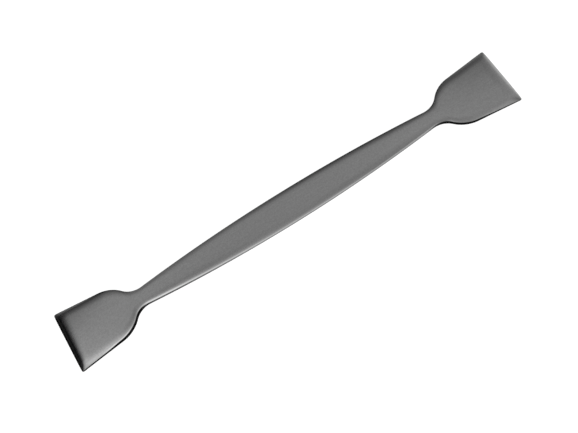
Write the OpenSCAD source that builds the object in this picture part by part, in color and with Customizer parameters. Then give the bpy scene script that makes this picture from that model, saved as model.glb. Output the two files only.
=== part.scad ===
// Double-ended flat lab spatula, millimetres, +Z up.
// It is one strip of stainless steel. A spindle-shaped handle narrows to a neck at
// each end and flares there into a flat blade. The upper face rolls over slowly
// towards its edges and its tips, and a tight arc takes it down into the side wall.
// Each blade is slightly crowned, and is ground thinner towards its tip.
// The length lies along X, and the tool lies on Z = 0 with its middle at X = Y = 0.

/* [Handle] */
// Overall length, tip to tip
overall_length = 150; // [120:5:220]
// Width of the handle at its middle
handle_width = 10.5; // [8.5:0.1:14]
// Thickness of the handle at its middle
handle_thickness = 1.6; // [1.2:0.1:3]

/* [Necks] */
// Width at each neck, the narrowest place
neck_width = 5.5; // [4.5:0.1:7.5]
// Thickness at each neck
neck_thickness = 1.8; // [1.2:0.1:3]
// Radius of the hollow curve on each side of a neck
neck_radius = 6.3; // [4:0.1:9]

/* [Blades] */
// Length of each blade, from the neck to the tip
blade_length = 25.6; // [22:0.2:36]
// Width of each blade at its tip, measured to where its two sides would meet the tip
tip_width = 20.2; // [17:0.2:28]
// Angle at which each side of a blade spreads towards the tip
flare_angle = 6.7; // [3:0.1:10]
// Radius of each blade's shoulders
shoulder_radius = 10.4; // [6:0.2:14]
// Thickness of each blade beside its crown, where its tip begins to round over
blade_thickness = 1.3; // [1.1:0.05:2]
// Rise of a blade's middle above its sides
blade_crown = 0.3; // [0:0.05:0.5]
// How far the underside of each blade has risen where its tip begins to round over
blade_lift = 0.2; // [0:0.05:0.5]
// Radius of each blade's two corners, seen from above
corner_radius = 0.5; // [0.3:0.1:2]

/* [Rolled edges] */
// Width of the roll along the upper edges
edge_roll = 3.5; // [2:0.1:4]
// How far the roll has turned down at the handle's edges
handle_roll_angle = 13; // [5:1:25]
// How far the roll has turned down at the sides of a blade, at the tip
blade_roll_angle = 26; // [10:1:28]
// Length of the roll at each tip
tip_roll = 4.5; // [3:0.1:5.5]
// How far the roll has turned down at each tip edge
tip_roll_angle = 22; // [10:1:24]
// Radius between the roll and the side wall
edge_radius = 0.2; // [0.1:0.05:0.25]
// Width of the roll along every lower edge
under_roll = 0.8; // [0.4:0.1:1.5]
// Depth of the roll along every lower edge
under_roll_depth = 0.3; // [0.2:0.05:0.35]
// How far the underside rises at each tip
tip_under = 0.15; // [0.05:0.05:0.2]
// How much of the underside is ground away to make it flat between the blades
flat_grind = 0.15; // [0.05:0.05:0.15]

/* [Hidden] */

half_length = overall_length / 2;
handle_half = handle_width / 2;
neck_half = neck_width / 2;
tip_half = tip_width / 2;
neck_x = half_length - blade_length;

// The roll on each side takes up at most this share of half the width
roll_share = 0.9;

// How many steps each stretch of the outline and of the section is drawn in
handle_steps = 14;
neck_steps = 10;
shoulder_steps = 9;
flare_steps = 6;
tip_steps = 6;
corner_steps = 9;
under_steps = 4;
wall_arc_steps = 3;
roll_steps = 6;
crown_steps = 3;

// ---- Outline: five stretches on each side of each half, each tangent to the next ----

// The hollow neck arc is lowest at neck_x, and the long handle arc is tangent to it
neck_centre = [neck_x, neck_half + neck_radius];
rise = neck_centre.y - handle_half;
handle_radius = (neck_x ^ 2 + rise ^ 2 - neck_radius ^ 2) / (2 * (handle_half - neck_half));
handle_centre = [0, handle_half - handle_radius];

// The shoulder arc is tangent to the neck arc and, from inside, to the straight flare
flare_way = [cos(flare_angle), sin(flare_angle)];
flare_inward = [sin(flare_angle), -cos(flare_angle)];
shoulder_track = [half_length, tip_half] + shoulder_radius * flare_inward;
reach = shoulder_track - neck_centre;
back = reach * flare_way
    - sqrt((reach * flare_way) ^ 2 - reach * reach + (neck_radius + shoulder_radius) ^ 2);
shoulder_centre = shoulder_track - back * flare_way;

// Where one stretch hands over to the next
handle_end = neck_centre - neck_radius * unit(neck_centre - handle_centre);
neck_end = neck_centre + neck_radius * unit(shoulder_centre - neck_centre);
shoulder_end = shoulder_centre - shoulder_radius * flare_inward;
corner_x = half_length - corner_radius;
flare_end_x = corner_x - corner_radius * sin(flare_angle);

function unit(v) = v / norm(v);
function arc_rise(radius, run) = sqrt(max(radius ^ 2 - run ^ 2, 0));
function flare(x) = tip_half - (half_length - x) * tan(flare_angle);

// Half width at a distance x from the middle
function half_width(x) =
    x <= handle_end.x ? handle_centre.y + arc_rise(handle_radius, x)
    : x <= neck_end.x ? neck_centre.y - arc_rise(neck_radius, x - neck_x)
    : x <= shoulder_end.x ? shoulder_centre.y + arc_rise(shoulder_radius, x - shoulder_centre.x)
    : x <= flare_end_x ? flare(x)
    : flare(corner_x) - corner_radius / cos(flare_angle) + arc_rise(corner_radius, x - corner_x);

// ---- Heights at a distance x from the middle ----

// An S-shaped blend from a to b as t goes from 0 to 1
function blend(a, b, t) = a + (b - a) * (1 - cos(180 * min(max(t, 0), 1))) / 2;
function along_blade(x) = (x - neck_x) / blade_length;

// The width that the tight arc between a roll and the wall takes up
function arc_width(angle) = edge_radius * (1 - sin(angle));

// How far an upper edge has dropped at a distance in from it. The roll drops as the cube
// of the way across it and ends at its angle, and the tight arc turns the rest of the way.
function roll_drop(inward, width, angle) =
    let (
        own = width - arc_width(angle),
        across = max(min((width - inward) / own, 1), 0),
        into_arc = max(edge_radius * sin(angle), edge_radius - inward)
    )
    tan(angle) * own / 3 * across ^ 3
    + edge_radius * cos(angle) - sqrt(max(edge_radius ^ 2 - into_arc ^ 2, 0));

// The two faces as they run before the tips roll over
function upper_face(x) =
    x < neck_x ? blend(handle_thickness, neck_thickness, x / neck_x)
    : blend(neck_thickness, blade_lift + blade_thickness, along_blade(x));
function lower_face(x) = blend(-flat_grind, blade_lift, along_blade(x));

tip_start = half_length - tip_roll;
function along_tip(x) = max(x - tip_start, 0) / tip_roll;
function top_height(x) =
    upper_face(x) - roll_drop(min(half_length - x, tip_roll), tip_roll, tip_roll_angle);
function bottom_height(x) = lower_face(x) + tip_under * along_tip(x) ^ 3;

// Crown and rolls get shallower as the tip gets thinner
function thin_share(x) =
    (top_height(x) - bottom_height(x)) / (upper_face(x) - lower_face(x));

// ---- Stations: the places along the length that get a cross-section ----

// X of an arc's points, evenly spaced by angle between two of its X values
function arc_stations(centre_x, radius, x0, x1, steps) =
    let (a0 = asin((x0 - centre_x) / radius), a1 = asin((x1 - centre_x) / radius))
    [for (i = [0 : steps - 1]) centre_x + radius * sin(a0 + (a1 - a0) * i / steps)];
function even_stations(x0, x1, steps) = [for (i = [0 : steps - 1]) x0 + (x1 - x0) * i / steps];

half_stations = concat(
    even_stations(0, handle_end.x, handle_steps),
    arc_stations(neck_x, neck_radius, handle_end.x, neck_end.x, neck_steps),
    arc_stations(shoulder_centre.x, shoulder_radius, neck_end.x, shoulder_end.x, shoulder_steps),
    even_stations(shoulder_end.x, tip_start, flare_steps),
    even_stations(tip_start, flare_end_x, tip_steps),
    arc_stations(corner_x, corner_radius, flare_end_x, half_length, corner_steps),
    [half_length]
);
stations = concat(
    [for (i = [len(half_stations) - 1 : -1 : 1]) -half_stations[i]],
    half_stations
);

// ---- Cross-section ----

// One side of the section, from the underside round the edge to the top, as [out, up]
function section_side(x) =
    let (
        half = half_width(x),
        top = top_height(x),
        bottom = bottom_height(x),
        thin = thin_share(x),
        width = min(edge_roll, roll_share * half),
        angle = blend(handle_roll_angle, blade_roll_angle, along_blade(x)),
        arc = arc_width(angle),
        crown = blend(0, blade_crown, along_blade(x)),
        over = concat(
            [for (i = [0 : wall_arc_steps])
                edge_radius * (1 - sin(90 + (angle - 90) * i / wall_arc_steps))],
            [for (i = [1 : roll_steps])
                arc + (width - arc) * (1 - sqrt(1 - i / roll_steps))],
            [for (i = [1 : crown_steps - 1])
                width + (half - width) * i / crown_steps]
        )
    )
    concat(
        [for (i = [0 : under_steps])
            let (a = 90 * i / under_steps)
            [half - under_roll * (1 - sin(a)), bottom + thin * under_roll_depth * (1 - cos(a))]],
        [for (inward = over)
            let (rise = crown * (1 - ((half - inward) / half) ^ 2))
            [half - inward, top + thin * (rise - roll_drop(inward, width, angle))]]
    );

// The whole closed section at X = x, as points in space
function section(x) =
    let (side = section_side(abs(x)))
    concat(
        [for (p = side) [x, p.x, p.y]],
        [for (i = [len(side) - 1 : -1 : 0]) [x, -side[i].x, side[i].y]]
    );

// A closed solid through a row of sections that have the same number of points
module loft(sections) {
    rows = len(sections);
    ring = len(sections[0]);
    polyhedron(
        points = [for (s = sections) each s],
        faces = concat(
            [[for (j = [0 : ring - 1]) j]],
            [for (i = [0 : rows - 2], j = [0 : ring - 1])
                let (k = (j + 1) % ring)
                [i * ring + j, (i + 1) * ring + j, (i + 1) * ring + k, i * ring + k]],
            [[for (j = [ring - 1 : -1 : 0]) (rows - 1) * ring + j]]
        )
    );
}

// Everything below Z = 0, which the flat underside is ground to
module below_ground() {
    translate([0, 0, -overall_length])
        cube(2 * overall_length, center = true);
}

module spatula() {
    color("gray")
    difference() {
        loft([for (x = stations) section(x)]);
        below_ground();
    }
}

spatula();
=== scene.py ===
"""A flat double-ended lab spatula in satin steel, lying on a pale studio floor."""

import math
from types import SimpleNamespace

import bpy
import numpy as np
from bpy.props import FloatProperty, FloatVectorProperty, PointerProperty
from mathutils import Matrix, Vector


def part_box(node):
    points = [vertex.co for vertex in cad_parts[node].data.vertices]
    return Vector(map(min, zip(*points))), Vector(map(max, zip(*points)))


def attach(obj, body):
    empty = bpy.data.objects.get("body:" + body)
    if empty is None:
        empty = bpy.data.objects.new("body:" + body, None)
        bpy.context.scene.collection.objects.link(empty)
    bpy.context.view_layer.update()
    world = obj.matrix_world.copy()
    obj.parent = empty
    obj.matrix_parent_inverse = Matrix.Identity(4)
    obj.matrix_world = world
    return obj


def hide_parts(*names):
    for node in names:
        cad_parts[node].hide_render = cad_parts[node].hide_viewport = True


bl_info = {
    "name": "Lab Spatula",
    "version": (1, 0, 0),
    "blender": (4, 5, 0),
    "location": "View3D > Sidebar > Lab Spatula",
    "description": "Makes a flat double-ended steel lab spatula and the stage that it lies on",
    "category": "Add Mesh",
}

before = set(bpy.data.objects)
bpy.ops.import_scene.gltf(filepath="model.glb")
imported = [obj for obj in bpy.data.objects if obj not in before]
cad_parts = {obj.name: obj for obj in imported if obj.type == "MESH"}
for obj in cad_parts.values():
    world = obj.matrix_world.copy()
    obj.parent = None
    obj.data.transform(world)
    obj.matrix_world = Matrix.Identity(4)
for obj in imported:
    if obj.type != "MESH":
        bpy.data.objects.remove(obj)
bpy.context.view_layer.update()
NODE = "spatula"
LOWEST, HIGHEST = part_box(NODE)
SIZE = HIGHEST - LOWEST
MM = 0.001


# ---- What a user would change ----


def length_setting(name, description, millimetres):
    """A length that is given in millimetres and kept in metres."""
    return FloatProperty(
        name=name, description=description, default=millimetres * MM, min=0, unit="LENGTH", precision=5)


def angle_setting(name, description, degrees):
    """An angle that is given in degrees and kept in radians."""
    return FloatProperty(
        name=name, description=description, default=math.radians(degrees), subtype="ANGLE")


class SpatulaShape(bpy.types.PropertyGroup):
    """The spatula's sizes. The overall ones come from the frame."""

    length: length_setting("Length", "Overall length, tip to tip", SIZE.x / MM)
    width: length_setting("Width", "Width of a blade at its widest", SIZE.y / MM)
    handle_width: length_setting("Handle width", "Width of the handle at its middle", 10.5)
    handle_thickness: length_setting("Handle thickness", "Thickness of the handle at its middle", 1.6)
    neck_width: length_setting("Neck width", "Width at each neck, the narrowest place", 5.5)
    neck_thickness: length_setting("Neck thickness", "Thickness at each neck", SIZE.z / MM)
    neck_radius: length_setting("Neck radius", "Radius of the hollow beside each neck", 6.3)
    blade_length: length_setting("Blade length", "From the neck to the tip", 25.6)
    flare_angle: angle_setting("Flare", "Angle at which a blade's sides spread", 6.7)
    shoulder_radius: length_setting("Shoulder radius", "Radius of each blade's shoulders", 10.4)
    blade_thickness: length_setting("Blade thickness", "Beside the crown, where a tip begins to roll", 1.3)
    blade_crown: length_setting("Blade crown", "Rise of a blade's middle above its sides", 0.3)
    blade_lift: length_setting("Blade lift", "Rise of a blade's underside towards the tip", 0.2)
    corner_radius: length_setting("Corner radius", "Radius of each blade's two corners", 0.5)
    edge_roll: length_setting("Roll", "Width of the roll along the upper edges", 3.5)
    handle_roll_angle: angle_setting("Handle roll angle", "How far it turns at the handle's edges", 13)
    blade_roll_angle: angle_setting("Blade roll angle", "How far it turns at a blade's sides", 26)
    tip_roll: length_setting("Tip roll", "Length of the roll at each tip", 4.5)
    tip_roll_angle: angle_setting("Tip roll angle", "How far it turns at each tip edge", 22)
    edge_radius: length_setting("Edge radius", "Radius between the roll and the side wall", 0.2)
    under_roll: length_setting("Lower roll", "Width of the roll along the lower edges", 0.8)
    under_roll_depth: length_setting("Lower roll depth", "Depth of the roll along the lower edges", 0.3)
    tip_under: length_setting("Tip underside", "Rise of the underside at each tip", 0.15)
    flat_grind: length_setting("Ground flat", "What is ground off the underside", 0.15)


def factor_setting(name, description, default):
    """A plain number between 0 and 1."""
    return FloatProperty(
        name=name, description=description, default=default, min=0, max=1, subtype="FACTOR")


def colour_setting(name, description, grey):
    """A neutral colour."""
    return FloatVectorProperty(
        name=name, description=description, default=(grey,) * 3, min=0, max=1, subtype="COLOR", size=3)


class SteelFinish(bpy.types.PropertyGroup):
    """The satin steel's colours, with its painted shade and painted highlight, its roughness and brush
    marks.
    """

    steel: colour_setting("Steel", "Colour of the bare steel", 0.34)
    # Painted shade: a near-black colour for the side walls and the left tip's edge. It stands in for the
    # shadowed floor and the black cloth that they reflect
    skin: colour_setting("Skin", "Colour of the dark skin left on the side walls", 0.01)
    streaks: factor_setting("Streaks", "How far the brush marks lighten and darken the steel", 0.28)
    roughness: factor_setting("Roughness", "Roughness of the faces", 0.25)
    polished: factor_setting("Polished edges", "Roughness of the tumbled edges", 0.14)
    # Painted highlight: lightens the edges' colour where the lamps' highlights fall along them
    painted_highlight: factor_setting("Worn edges", "How much lighter the worn edges are", 0.6)
    mark_depth: length_setting("Mark depth", "Depth of the brush marks", 0.0006)


class StageSettings(bpy.types.PropertyGroup):
    """The camera, the light tent and the floor."""

    azimuth: angle_setting("Azimuth", "Camera's turn about the vertical", -9.78)
    elevation: angle_setting("Elevation", "Camera's height above the horizon", 65.72)
    roll: angle_setting("Roll", "Camera's turn about its own line of sight", -22.84)
    distance: length_setting("Distance", "From the camera to the point that it looks at", 291.6)
    lens: FloatProperty(name="Lens", description="Focal length on a 36 mm sensor, in mm", default=62.28)
    tent_radius: length_setting("Tent radius", "Radius of the light tent round the tool", 350)
    tent_level: FloatProperty(
        name="Tent level", description="Multiplies the tent's light", default=1, min=0)
    floor: colour_setting("Floor", "Colour of the floor", 0.4)
    floor_white: factor_setting("Floor white", "How white the floor looks where no light reaches it", 0.9)


# ---- The spatula's surface ----

# A roll takes up at most this share of half the width
ROLL_SHARE = 0.9

# How many cross-sections each stretch of half the length gets
HANDLE_RINGS = 90
NECK_RINGS = 50
SHOULDER_RINGS = 50
FLARE_RINGS = 36
TIP_RINGS = 22
CORNER_RINGS = 28

# How many points each stretch of one side of a cross-section gets
UNDER_POINTS = 9
WALL_POINTS = 3
ARC_POINTS = 8
ROLL_POINTS = 20
CROWN_POINTS = 5

# Where the flat underside's own points lie, as shares of its half width
INNER_SHARES = (0.33, 0.67)

# An edge that turns by more degrees than this is drawn sharp
SHARP_TURN = 28


def blend(a, b, t):
    """An S-shaped blend: a plus (b - a) times (1 - cos(pi t)) / 2, with t kept between 0 and 1."""
    return a + (b - a) * (1 - np.cos(np.pi * np.clip(t, 0, 1))) / 2


def roll_drop(inward, width, angle, radius):
    """How far an upper edge has dropped at a distance inward from it.

    The roll drops as the cube of the way across it and ends at its angle. A tight arc of the radius
    turns the rest of the way to the wall: the root of radius squared less the square of the run into it.
    """
    own = width - radius * (1 - np.sin(angle))
    across = np.clip((width - inward) / own, 0, 1)
    into_arc = np.maximum(radius * np.sin(angle), radius - inward)
    arc_height = arc_rise(radius, into_arc)
    return np.tan(angle) * own / 3 * across**3 + radius * np.cos(angle) - arc_height


def arc_rise(radius, run):
    """Height of an arc above its centre, beside it by a run: sqrt(radius squared - run squared)."""
    return np.sqrt(np.maximum(radius**2 - run**2, 0))


def outline(shape):
    """Works out one quarter of the outline: the centres and ends of its five tangent stretches.

    The handle is one long arc with its middle at x = 0. The neck is a hollow arc whose lowest point is
    at neck_x, and the handle arc touches it. The shoulder arc touches the neck arc and, from inside, the
    straight flare, so its centre lies on a line one radius inside the flare, at the sum of both radii
    from the neck's centre. The corner arc touches the flare and the tip.
    """
    q = SimpleNamespace()
    q.half_length = shape.length / 2
    q.neck_x = q.half_length - shape.blade_length
    q.flare = shape.flare_angle
    corner_gain = math.tan(q.flare) + 1 / math.cos(q.flare) - 1
    q.tip_half = shape.width / 2 + shape.corner_radius * corner_gain

    q.neck_centre = np.array([q.neck_x, shape.neck_width / 2 + shape.neck_radius])
    rise = q.neck_centre[1] - shape.handle_width / 2
    narrowing = (shape.handle_width - shape.neck_width) / 2
    q.handle_radius = (q.neck_x**2 + rise**2 - shape.neck_radius**2) / (2 * narrowing)
    q.handle_centre = np.array([0, shape.handle_width / 2 - q.handle_radius])

    way = np.array([math.cos(q.flare), math.sin(q.flare)])
    inward = np.array([math.sin(q.flare), -math.cos(q.flare)])
    track = np.array([q.half_length, q.tip_half]) + shape.shoulder_radius * inward
    reach = track - q.neck_centre
    both_radii = shape.neck_radius + shape.shoulder_radius
    back = reach @ way - math.sqrt((reach @ way) ** 2 - reach @ reach + both_radii**2)
    q.shoulder_centre = track - back * way

    to_handle = q.handle_centre - q.neck_centre
    to_shoulder = q.shoulder_centre - q.neck_centre
    q.handle_end = q.neck_centre[0] + shape.neck_radius * to_handle[0] / np.linalg.norm(to_handle)
    q.neck_end = q.neck_centre[0] + shape.neck_radius * to_shoulder[0] / np.linalg.norm(to_shoulder)
    q.shoulder_end = q.shoulder_centre[0] - shape.shoulder_radius * inward[0]
    q.corner_x = q.half_length - shape.corner_radius
    q.flare_end = q.corner_x - shape.corner_radius * math.sin(q.flare)
    return q


def half_width(x, shape, q):
    """Half the width at each distance x from the middle: the height there of the stretch that x is in."""
    flare_slope = math.tan(q.flare)
    handle = q.handle_centre[1] + arc_rise(q.handle_radius, x)
    neck = q.neck_centre[1] - arc_rise(shape.neck_radius, x - q.neck_x)
    shoulder = q.shoulder_centre[1] + arc_rise(shape.shoulder_radius, x - q.shoulder_centre[0])
    flare = q.tip_half - (q.half_length - x) * flare_slope
    corner_y = q.tip_half - shape.corner_radius * (flare_slope + 1 / math.cos(q.flare))
    corner = corner_y + arc_rise(shape.corner_radius, x - q.corner_x)
    ends = [x <= q.handle_end, x <= q.neck_end, x <= q.shoulder_end, x <= q.flare_end]
    return np.select(ends, [handle, neck, shoulder, flare], corner)


def face_heights(x, shape, q):
    """Heights of the upper and lower face at each x, and the share of the thickness left at the tips.

    Each face is a blend along the handle and the blade. At the tips the upper one is less a roll's
    drop, and the lower one rises with the cube of the way into the tip.
    """
    along = (x - q.neck_x) / shape.blade_length
    blade_top = shape.blade_lift + shape.blade_thickness
    upper = np.where(
        x < q.neck_x,
        blend(shape.handle_thickness, shape.neck_thickness, x / q.neck_x),
        blend(shape.neck_thickness, blade_top, along),
    )
    lower = blend(-shape.flat_grind, shape.blade_lift, along)
    inward = np.minimum(q.half_length - x, shape.tip_roll)
    top = upper - roll_drop(inward, shape.tip_roll, shape.tip_roll_angle, shape.edge_radius)
    bottom = lower + shape.tip_under * (1 - inward / shape.tip_roll) ** 3
    return top, bottom, (top - bottom) / (upper - lower)


def stations(shape, q):
    """Every x that gets a cross-section. They are closest where the outline or the tip turns fastest.

    Each stretch of the outline is cut evenly, and the corner arc by its angle.
    """
    tip_start = q.half_length - shape.tip_roll
    half = np.concatenate([
        np.linspace(0, q.handle_end, HANDLE_RINGS, endpoint=False),
        np.linspace(q.handle_end, q.neck_end, NECK_RINGS, endpoint=False),
        np.linspace(q.neck_end, q.shoulder_end, SHOULDER_RINGS, endpoint=False),
        np.linspace(q.shoulder_end, tip_start, FLARE_RINGS, endpoint=False),
        np.linspace(tip_start, q.flare_end, TIP_RINGS, endpoint=False),
        q.corner_x + shape.corner_radius * np.sin(np.linspace(-q.flare, math.pi / 2, CORNER_RINGS)),
    ])
    return np.concatenate([-half[:0:-1], half])


def between(count):
    """A column of evenly spread shares between 0 and 1, with neither end: 1, 2, 3 ... over count + 1."""
    return np.linspace(0, 1, count + 2)[1:-1, None]


def mirrored(side):
    """Whole rings from the values of one side, which runs from the underside out and in along the top."""
    return np.concatenate([side, side[::-1]]).T


def section_rings(shape, q, x):
    """The closed cross-section at each x, as an array of rings, points and coordinates, and its marks.

    One side runs from the underside out round a quarter ellipse, up the wall, round the tight arc, in
    along the roll and over the crown, a parabola across the whole width. The other side is its mirror
    image. The lower ellipse starts where it leaves the ground, at the angle whose cosine is
    1 + bottom / depth. The roll's points are closest at the wall: each lies 1 - sqrt(share remaining)
    of the way in. The marks are each point's share of half the width, those of the finish, and those of
    the painted shade and the painted highlight.
    """
    away = np.abs(x)
    along = (away - q.neck_x) / shape.blade_length
    half = half_width(away, shape, q)
    top, bottom, thin = face_heights(away, shape, q)

    under_depth = thin * shape.under_roll_depth
    start = np.arccos(np.clip(1 + bottom / under_depth, -1, 1))
    turn = start + (math.pi / 2 - start) * np.linspace(0, 1, UNDER_POINTS)[:, None]
    under_y = half - shape.under_roll * (1 - np.sin(turn))
    under_z = np.maximum(bottom + under_depth * (1 - np.cos(turn)), 0)

    width = np.minimum(shape.edge_roll, ROLL_SHARE * half)
    angle = blend(shape.handle_roll_angle, shape.blade_roll_angle, along)
    arc_turn = math.pi / 2 + (angle - math.pi / 2) * np.linspace(0, 1, ARC_POINTS)[:, None]
    arc_in = shape.edge_radius * (1 - np.sin(arc_turn))
    remaining = np.linspace(1, 0, ROLL_POINTS + 1)[1:, None]
    roll_in = arc_in[-1] + (width - arc_in[-1]) * (1 - np.sqrt(remaining))
    crown_in = width + (half - width) * between(CROWN_POINTS)
    inward = np.concatenate([arc_in, roll_in, crown_in])
    over_y = half - inward
    rise = blend(0, shape.blade_crown, along) * (1 - (over_y / half) ** 2)
    over_z = top + thin * (rise - roll_drop(inward, width, angle, shape.edge_radius))

    wall_share = between(WALL_POINTS)
    wall_y = half + 0 * wall_share
    wall_z = under_z[-1] + (over_z[0] - under_z[-1]) * wall_share
    inner_y = under_y[0] * np.array(INNER_SHARES)[:, None]
    side_y = np.concatenate([inner_y, under_y, wall_y, over_y])
    side_z = np.concatenate([0 * inner_y + under_z[0], under_z, wall_z, over_z])
    ring_y = mirrored(side_y)
    ring_y[:, len(side_y):] *= -1
    rings = np.stack([np.broadcast_to(x[:, None], ring_y.shape), ring_y, mirrored(side_z)], axis=-1)

    def on_parts(under, wall, over):
        """One mark for whole rings, from its values on the lower ellipse, the wall and the upper face."""
        return mirrored(np.concatenate([
            0 * inner_y, under + 0 * under_y, wall + 0 * wall_y, over + 0 * over_y]))

    marks = finish_marks(q, x, turn, inward, ring_y < 0, on_parts)
    return rings, {"across": ring_y / half[:, None], **marks}


# ---- Where the finish, the painted shade and the painted highlight change ----

# Each pair is where a change begins and where it is complete. These are places along X
LEFT_HALF = (-10 * MM, -45 * MM)
# Where the painted highlight along the edges spreads leftwards from the handle's right half, and where it
# grows on the left
HIGHLIGHT_FROM_RIGHT = (30 * MM, 15 * MM)
HIGHLIGHT_MORE_LEFT = (-30 * MM, -45 * MM)

# Past a neck, on the way to the tip
BLADE_WALL_START = (-4 * MM, 3 * MM)
LAP_START = (-1 * MM, 3 * MM)
SHOULDER_START = (1 * MM, 4 * MM)

# Before a tip
TIP_POLISH = (2 * MM, 0.8 * MM)
# Where the painted dark reflection begins at the left tip's edge
LEFT_TIP_SHADE = (1.2 * MM, 0.4 * MM)
WALL_END = (0.2 * MM, 1 * MM)
EDGE_END = (6 * MM, 12 * MM)
SHOULDER_END = (8 * MM, 15 * MM)
BRIGHT_END = (12 * MM, 17 * MM)

# Inward from a side
EDGE = (0.7 * MM, 0.2 * MM)
TIP_CORNER = (-0.5 * MM, 2.5 * MM)

# Inward from where the painted shade laps over to
LAP_FADE = (0.1 * MM, -0.1 * MM)

# Round the lower ellipse, as the sine of its turn
UNDER_FADE = (0, 0.5)

# How much of the handle's walls the painted shade covers, and how far it laps over the blades' edges,
# where it goes twice as far at the shoulders. It stands in for the shade that the walls reflect, and the
# left half gets more of it
RIGHT_WALL_SHADE = 0.26
LEFT_WALL_SHADE = 0.6
RIGHT_LAP = 0.052 * MM
LEFT_LAP = 0.143 * MM

# How much wider and how much lighter the painted highlight along the edge is at the left blade's near
# shoulder
BRIGHT_WIDTH = 0.1 * MM
BRIGHT_GAIN = 0.6


def smooth_step(value, start, end):
    """0 at the start and before it, 1 at the end and past it, and t * t * (3 - 2 t) between them."""
    t = np.clip((value - start) / (end - start), 0, 1)
    return t * t * (3 - 2 * t)


def finish_marks(q, x, turn, inward, near, on_parts):
    """How much painted shade each point carries, how far it is polished and how much painted highlight it
    has.

    Each share is a product of smooth steps. The painted shade covers the blades' walls and part of the
    handle's, fades out round the lower ellipse, laps over the blades' edges, and covers the left tip's
    edge, where it is a painted dark reflection. The left half keeps more of it. The sides' edges and the
    tips are polished. The painted highlight lightens the edges from the handle's right half leftwards,
    most of all on the left, and at the left blade's near shoulder the mark is over 1, which widens the
    painted highlight line.
    """
    past_neck = np.abs(x) - q.neck_x
    to_tip = q.half_length - np.abs(x)
    on_left = smooth_step(x, *LEFT_HALF)
    on_blade = smooth_step(past_neck, *BLADE_WALL_START) * smooth_step(to_tip, *WALL_END)
    past_shoulder_start = smooth_step(past_neck, *SHOULDER_START)
    on_shoulder = past_shoulder_start * smooth_step(to_tip, *SHOULDER_END)
    bright = on_left * past_shoulder_start * smooth_step(to_tip, *BRIGHT_END)

    on_handle_wall = RIGHT_WALL_SHADE + (LEFT_WALL_SHADE - RIGHT_WALL_SHADE) * on_left
    on_wall = on_handle_wall + (1 - on_handle_wall) * on_blade
    on_under = on_wall * smooth_step(np.sin(turn), *UNDER_FADE)
    lap = (on_blade + on_shoulder) * (RIGHT_LAP + (LEFT_LAP - RIGHT_LAP) * on_left)
    lapped = on_blade * smooth_step(past_neck, *LAP_START) * smooth_step(inward - lap, *LAP_FADE)
    # Painted dark reflection: the left tip's edge darkened for the black cloth on the left
    left_tip = (x < 0) * smooth_step(to_tip, *LEFT_TIP_SHADE) * smooth_step(inward, *TIP_CORNER)

    # Painted highlight along the edges, lighter on the left half, where the lamps' highlights are brighter
    edge = smooth_step(inward - BRIGHT_WIDTH * bright, *EDGE) * smooth_step(to_tip, *EDGE_END)
    highlight_share = (smooth_step(x, *HIGHLIGHT_FROM_RIGHT) + smooth_step(x, *HIGHLIGHT_MORE_LEFT)) / 2
    return {
        "skin": on_parts(on_under, on_wall, np.maximum(lapped, left_tip)),
        "polish": on_parts(0, 0, np.maximum(edge, smooth_step(to_tip, *TIP_POLISH))),
        "painted_highlight": on_parts(0, 0, edge * highlight_share) * (1 + BRIGHT_GAIN * bright[:, None] * near),
    }


# ---- Meshes ----


def closed_tube(rings):
    """Vertices, quads and triangles of the rings joined into a tube, closed by a fan at each end.

    Quad (i, j) joins points j and j + 1 of ring i to the same points of ring i + 1. Each fan turns about
    the mean of its ring's points, and these two middles come last.
    """
    rows, count, _ = rings.shape
    index = np.arange(rows * count).reshape(rows, count)
    after = np.roll(index, -1, axis=1)
    quads = np.stack([index[:-1], after[:-1], after[1:], index[1:]], axis=-1).reshape(-1, 4)
    middles = np.array([rings[0].mean(axis=0), rings[-1].mean(axis=0)])
    first = np.stack([np.full(count, rows * count), after[0], index[0]], axis=-1)
    last = np.stack([np.full(count, rows * count + 1), index[-1], after[-1]], axis=-1)
    vertices = np.concatenate([rings.reshape(-1, 3), middles])
    return vertices, quads, np.concatenate([first, last])


def mesh_object(name, vertices, faces, material, attributes=None):
    """Makes a mesh object at the origin, smooth apart from edges that turn sharply.

    Each attribute holds one number for each vertex.
    """
    mesh = bpy.data.meshes.new(name)
    mesh.from_pydata(vertices, [], faces)
    mesh.validate()
    mesh.shade_smooth()
    mesh.set_sharp_from_angle(angle=math.radians(SHARP_TURN))
    mesh.materials.append(material)
    for attribute, values in (attributes or {}).items():
        mesh.attributes.new(attribute, "FLOAT", "POINT").data.foreach_set("value", values)
    piece = bpy.data.objects.new(name, mesh)
    bpy.context.scene.collection.objects.link(piece)
    return piece


def add_flow(mesh, along, across):
    """A UV map from two numbers at each vertex: its place along the length, and its share across."""
    corners = np.empty(len(mesh.loops), dtype=int)
    mesh.loops.foreach_get("vertex_index", corners)
    flow = np.stack([along, across], axis=-1)[corners]
    mesh.uv_layers.new(name="flow").data.foreach_set("uv", flow.ravel())


# ---- Materials ----

# How many cells of noise there are to a metre along the tool, and to half its width
BRUSH_CELLS = (150, 30, 0)
LONG_BRUSH_CELLS = (30, 7, 0)

# How many cells of the even grain there are to a metre
GRAIN_CELLS = 2000

# What each noise gives to the shade
BRUSH_SHARE = 0.35
LONG_BRUSH_SHARE = 0.15
GRAIN_SHARE = 0.5

# How far the brush marks spread the roughness
ROUGHNESS_SPREAD = 0.06


class Term:
    """A socket that Python's operators turn into Math nodes."""

    def __init__(self, graph, socket):
        self.graph = graph
        self.socket = socket

    def math(self, operation, a, b):
        """One Math node on two values or terms."""
        return self.graph.add("ShaderNodeMath", {"operation": operation}, {0: a, 1: b})

    def __add__(self, other):
        return self.math("ADD", self, other)

    def __mul__(self, other):
        return self.math("MULTIPLY", self, other)

    def __sub__(self, other):
        return self.math("SUBTRACT", self, other)

    def __rsub__(self, other):
        return self.math("SUBTRACT", other, self)

    __radd__ = __add__
    __rmul__ = __mul__


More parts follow.
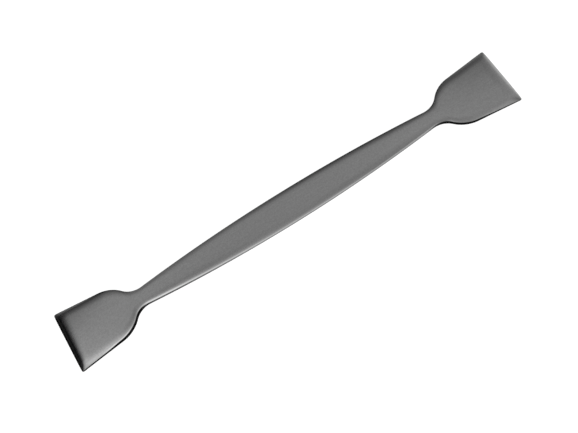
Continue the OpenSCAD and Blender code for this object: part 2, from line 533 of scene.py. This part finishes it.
class Graph:
    """A node tree that is written as expressions."""

    def __init__(self, tree):
        self.tree = tree
        tree.nodes.clear()

    def add(self, kind, settings=None, sockets=None, output=0):
        """Adds one node. Its settings go in first, and then each socket's value or link."""
        node = self.tree.nodes.new(kind)
        for name, value in (settings or {}).items():
            setattr(node, name, value)
        for name, value in (sockets or {}).items():
            if isinstance(value, Term):
                self.tree.links.new(value.socket, node.inputs[name])
            else:
                node.inputs[name].default_value = value
        return Term(self, node.outputs[output]) if len(node.outputs) else node

    def attribute(self, name):
        """A number that the mesh holds at each vertex."""
        return self.add("ShaderNodeAttribute", {"attribute_name": name}, output="Fac")

    def vector_math(self, operation, a, b):
        """One Vector Math node."""
        return self.add("ShaderNodeVectorMath", {"operation": operation}, {0: a, 1: b})

    def noise(self, vector, scale, detail):
        """A noise between 0 and 1."""
        return self.add(
            "ShaderNodeTexNoise", sockets={"Vector": vector, "Scale": scale, "Detail": detail})

    def mix_colour(self, factor, a, b):
        """A colour between a and b, terms or three numbers each, which a Mix node takes at 6 and 7."""
        first, second = (c if isinstance(c, Term) else (*c, 1) for c in (a, b))
        return self.add(
            "ShaderNodeMix", {"data_type": "RGBA"}, {0: factor, 6: first, 7: second}, output=2)

    def seen(self):
        """1 for rays from the camera and for rays that metal or glass sends on, and 0 for the rest."""
        rays = [self.add("ShaderNodeLightPath", output=name) for name in (
            "Is Camera Ray", "Is Glossy Ray", "Is Transmission Ray")]
        return rays[0].math("MINIMUM", rays[0] + rays[1] + rays[2], 1)


def new_material(name):
    """An empty node material and its graph."""
    material = bpy.data.materials.new(name)
    material.use_nodes = True
    return material, Graph(material.node_tree)


def steel_material(finish):
    """Satin steel, brushed along the length, with polished edges, a painted highlight along the edges and
    painted shade on its walls.

    The brush marks are two noises that are stretched along the tool, and an even grain is added. They
    follow the outline, because their second direction is the share of half the width. The painted shade
    takes 1 - (1 - shade) * (1 - shade) of the colour, and leaves 1 - shade * shade of the metal.
    """
    material, graph = new_material("satin_steel")
    flow = graph.add("ShaderNodeUVMap", {"uv_map": "flow"})
    skin = graph.attribute("skin")
    polish = graph.attribute("polish")
    painted_highlight = graph.attribute("painted_highlight")
    marks = graph.noise(graph.vector_math("MULTIPLY", flow, BRUSH_CELLS), 1, detail=3)
    long_marks = graph.noise(graph.vector_math("MULTIPLY", flow, LONG_BRUSH_CELLS), 1, detail=2)
    grain = graph.noise(graph.add("ShaderNodeTexCoord", output="Object"), GRAIN_CELLS, detail=1)
    shade = marks * BRUSH_SHARE + long_marks * LONG_BRUSH_SHARE + grain * GRAIN_SHARE

    steel = np.array(finish.steel)
    brushed = graph.mix_colour(shade, steel * (1 - finish.streaks), steel * (1 + finish.streaks))
    # Painted highlight: the edges lightened towards a lighter steel
    colour = graph.mix_colour(painted_highlight, brushed, steel * (1 + finish.painted_highlight))
    # Painted shade: the walls, the lower edges and the left tip's edge taken towards the dark colour
    colour = graph.mix_colour(1 - (1 - skin) * (1 - skin), colour, finish.skin)
    spread = (marks - 0.5) * ROUGHNESS_SPREAD
    roughness = spread + finish.roughness + polish * (finish.polished - finish.roughness)
    bump = graph.add("ShaderNodeBump", sockets={
        "Strength": 1,
        "Distance": finish.mark_depth,
        "Height": marks,
    })
    shader = graph.add("ShaderNodeBsdfPrincipled", sockets={
        "Base Color": colour,
        "Metallic": 1 - skin * skin,
        "Roughness": roughness,
        "Specular IOR Level": 0,
        "Normal": bump,
    })
    graph.add("ShaderNodeOutputMaterial", sockets={"Surface": shader})
    return material


def floor_material(stage):
    """A pale floor that looks white wherever light reaches it, and keeps the tool's shadow."""
    material, graph = new_material("pale_floor")
    white = graph.add("ShaderNodeEmission", sockets={"Strength": graph.seen() * stage.floor_white})
    plain = graph.add("ShaderNodeBsdfDiffuse", sockets={"Color": (*stage.floor, 1)})
    both = graph.add("ShaderNodeAddShader", sockets={0: white, 1: plain})
    graph.add("ShaderNodeOutputMaterial", sockets={"Surface": both})
    return material


def tent_material(stage):
    """Lit cloth, as bright as the mesh's own attribute says."""
    material, graph = new_material("tent_light")
    glow = graph.attribute("glow")
    light = graph.add("ShaderNodeEmission", sockets={"Strength": glow * stage.tent_level})
    graph.add("ShaderNodeOutputMaterial", sockets={"Surface": light})
    return material


# ---- Stage ----

# Levels of the tent's light by elevation in degrees. A row goes round in steps of 30 degrees, from the
# first column's azimuth by the right, the far side and the left. The key light is high on the left and
# comes down to the near side, and a smaller one is low on the right. Black cloth hangs halfway up on
# the far side and the left.
TENT_LEVELS = {
    0: (0.69, 0.70, 0.75, 0.78, 0.45, 0.45, 0.45, 0.45, 0.45, 0.57, 0.97, 1.32),
    15: (0.70, 0.68, 0.80, 1.16, 0.35, 0.35, 0.35, 0.35, 0.35, 0.35, 0.86, 1.41),
    30: (0.70, 0.60, 0.63, 0.60, 0.15, 0.15, 0.00, 0.00, 0.00, 0.00, 0.62, 1.41),
    45: (0.76, 0.65, 0.35, 0.61, 0.26, 0.05, 0.33, 0.00, 0.02, 0.00, 0.05, 1.18),
    60: (1.04, 0.87, 0.59, 0.59, 0.74, 0.60, 0.66, 0.84, 1.35, 1.43, 1.78, 1.53),
    75: (0.74, 0.60, 0.51, 0.41, 0.35, 0.54, 0.38, 0.23, 0.78, 1.22, 1.36, 0.99),
    90: (0.65,) * 12,
}
FIRST_COLUMN = 15

# How many degrees apart the tent's own points are, both ways
TENT_STEP = 3.0

# Half the floor's side, in metres
FLOOR_HALF = 2

# What the camera looks at
AIM = (-1.53 * MM, -2.71 * MM, 0.83 * MM)

# The sensor's width that the lens setting is for, in millimetres
SENSOR_WIDTH = 36


def tent_glow(azimuth, elevation):
    """The level at each direction, in degrees: an S-shaped blend between rows, and between columns."""
    rows = np.array(list(TENT_LEVELS))
    levels = np.array(list(TENT_LEVELS.values()))
    columns = levels.shape[1]
    place = ((azimuth - FIRST_COLUMN) % 360) / 360 * columns
    before = np.floor(place).astype(int) % columns
    round_the_row = blend(levels[:, before], levels[:, (before + 1) % columns], place - np.floor(place))
    above = np.clip(np.searchsorted(rows, elevation, side="right"), 1, len(rows) - 1)
    share = (elevation - rows[above - 1]) / (rows[above] - rows[above - 1])
    here = np.arange(elevation.size)
    return blend(round_the_row[above - 1, here], round_the_row[above, here], share)


def make_tent(stage):
    """Half a sphere of lit cloth round the tool, on a grid of azimuths and elevations.

    A point lies at the radius times (sin a cos e, -cos a cos e, sin e).
    """
    azimuth, elevation = np.meshgrid(np.arange(0, 360, TENT_STEP), np.arange(0, 90, TENT_STEP))
    columns = azimuth.shape[1]
    azimuth, elevation = np.append(azimuth, 0), np.append(elevation, 90)
    turn, lift = np.radians(azimuth), np.radians(elevation)
    vertices = stage.tent_radius * np.stack([
        np.sin(turn) * np.cos(lift), -np.cos(turn) * np.cos(lift), np.sin(lift)], axis=-1)
    index = np.arange(azimuth.size - 1).reshape(-1, columns)
    after = np.roll(index, -1, axis=1)
    quads = np.stack([index[:-1], index[1:], after[1:], after[:-1]], axis=-1).reshape(-1, 4)
    cap = np.stack([index[-1], np.full(columns, azimuth.size - 1), after[-1]], axis=-1)
    glow = tent_glow(azimuth, elevation)
    tent = mesh_object(
        "light_tent", vertices, [*quads.tolist(), *cap.tolist()], tent_material(stage), {"glow": glow})
    tent.visible_camera = False
    return tent


def make_floor(stage):
    """A flat square floor at z = 0."""
    corners = [(FLOOR_HALF * x, FLOOR_HALF * y, 0) for x, y in ((-1, -1), (1, -1), (1, 1), (-1, 1))]
    return mesh_object("pale_floor", corners, [(0, 1, 2, 3)], floor_material(stage))


def make_world():
    """A plain white world."""
    world = bpy.data.worlds.new("white_world")
    world.use_nodes = True
    graph = Graph(world.node_tree)
    background = graph.add("ShaderNodeBackground", sockets={"Color": (1, 1, 1, 1), "Strength": 1})
    graph.add("ShaderNodeOutputWorld", sockets={"Surface": background})
    bpy.context.scene.world = world


def place_camera(stage, aim):
    """Puts the camera at its distance from the aim, turned by azimuth, elevation and roll.

    It stands back from the aim along (sin a cos e, -cos a cos e, sin e).
    """
    back = Vector((
        math.sin(stage.azimuth) * math.cos(stage.elevation),
        -math.cos(stage.azimuth) * math.cos(stage.elevation),
        math.sin(stage.elevation),
    ))
    right = Vector((math.cos(stage.azimuth), math.sin(stage.azimuth), 0))
    axes = Matrix((right, back.cross(right), back)).transposed()
    data = bpy.data.cameras.new("camera")
    data.sensor_width = SENSOR_WIDTH
    data.lens = stage.lens
    camera = bpy.data.objects.new("camera", data)
    turned = axes @ Matrix.Rotation(stage.roll, 3, "Z")
    camera.matrix_world = Matrix.LocRotScale(aim + back * stage.distance, turned, None)
    bpy.context.scene.collection.objects.link(camera)
    bpy.context.scene.camera = camera
    return camera


# ---- Operators ----


class AddSpatula(bpy.types.Operator):
    """Makes the spatula's surface in satin steel, in place of its plain CAD node"""

    bl_idname = "lab_spatula.add_spatula"
    bl_label = "Add Spatula"

    def execute(self, context):
        shape = context.scene.spatula_shape
        q = outline(shape)
        rings, marks = section_rings(shape, q, stations(shape, q))
        vertices, quads, fans = closed_tube(rings)
        at_middles = (0, 0)
        values = {name: np.append(mark, at_middles) for name, mark in marks.items()}
        across = values.pop("across")
        steel = steel_material(context.scene.steel_finish)
        piece = mesh_object("satin_spatula", vertices, [*quads.tolist(), *fans.tolist()], steel, values)
        add_flow(piece.data, vertices[:, 0], across)
        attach(piece, "root")
        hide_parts(NODE)
        return {"FINISHED"}


class AddStage(bpy.types.Operator):
    """Makes the pale floor, the lights and the camera"""

    bl_idname = "lab_spatula.add_stage"
    bl_label = "Add Stage"

    def execute(self, context):
        stage = context.scene.stage_settings
        make_floor(stage)
        make_tent(stage)
        make_world()
        place_camera(stage, Vector(AIM))
        context.scene.view_settings.view_transform = "Standard"
        return {"FINISHED"}


class SpatulaPanel(bpy.types.Panel):
    """Lists what this add-on makes"""

    bl_idname = "VIEW3D_PT_lab_spatula"
    bl_label = "Lab Spatula"
    bl_space_type = "VIEW_3D"
    bl_region_type = "UI"
    bl_category = "Lab Spatula"

    def draw(self, context):
        for group in SETTINGS:
            box = self.layout.box()
            for name in SETTINGS[group].__annotations__:
                box.prop(getattr(context.scene, group), name)
        for operator in MAKERS:
            self.layout.operator(operator.bl_idname)


SETTINGS = {"spatula_shape": SpatulaShape, "steel_finish": SteelFinish, "stage_settings": StageSettings}
MAKERS = (AddSpatula, AddStage)


def register():
    """Adds the classes and hangs the settings on the scene."""
    for group, settings in SETTINGS.items():
        bpy.utils.register_class(settings)
        setattr(bpy.types.Scene, group, PointerProperty(type=settings))
    for made in (*MAKERS, SpatulaPanel):
        bpy.utils.register_class(made)


def unregister():
    """Takes away what register() added."""
    for made in (SpatulaPanel, *MAKERS):
        bpy.utils.unregister_class(made)
    for group, settings in SETTINGS.items():
        delattr(bpy.types.Scene, group)
        bpy.utils.unregister_class(settings)


def main():
    register()
    bpy.ops.lab_spatula.add_spatula()
    bpy.ops.lab_spatula.add_stage()


if __name__ == "__main__":
    main()
